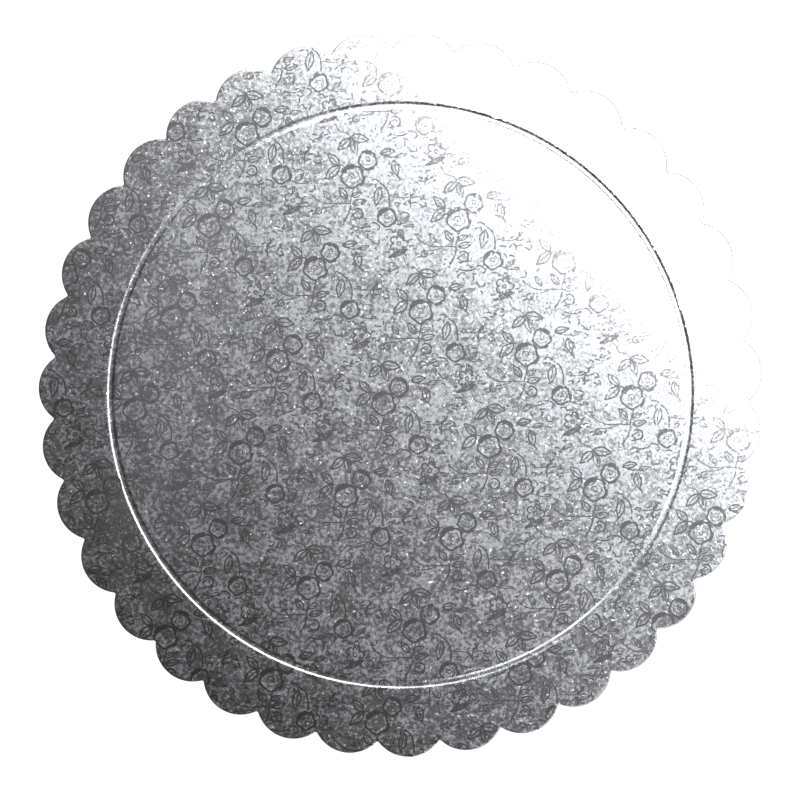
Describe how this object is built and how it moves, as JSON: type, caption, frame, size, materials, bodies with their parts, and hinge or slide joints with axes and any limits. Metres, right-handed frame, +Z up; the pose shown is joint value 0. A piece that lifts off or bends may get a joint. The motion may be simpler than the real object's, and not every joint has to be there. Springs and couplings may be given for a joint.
{
  "type": "cake board",
  "caption": "Round silver foil-faced card cake board with a scalloped edge, a pressed ring and embossed roses.",
  "frame": {"origin": "middle of the underside, on the axis of the pressed ring and the scallops", "axes": "+Z up, out of the foil face; +Y towards the top of the picture; +X to its right"},
  "size_m": [0.2996, 0.2997, 0.0021],
  "materials": {
    "silver_foil": "satin"
  },
  "bodies": {
    "root": {"cake_board": "silver_foil"}
  },
  "joints": []
}
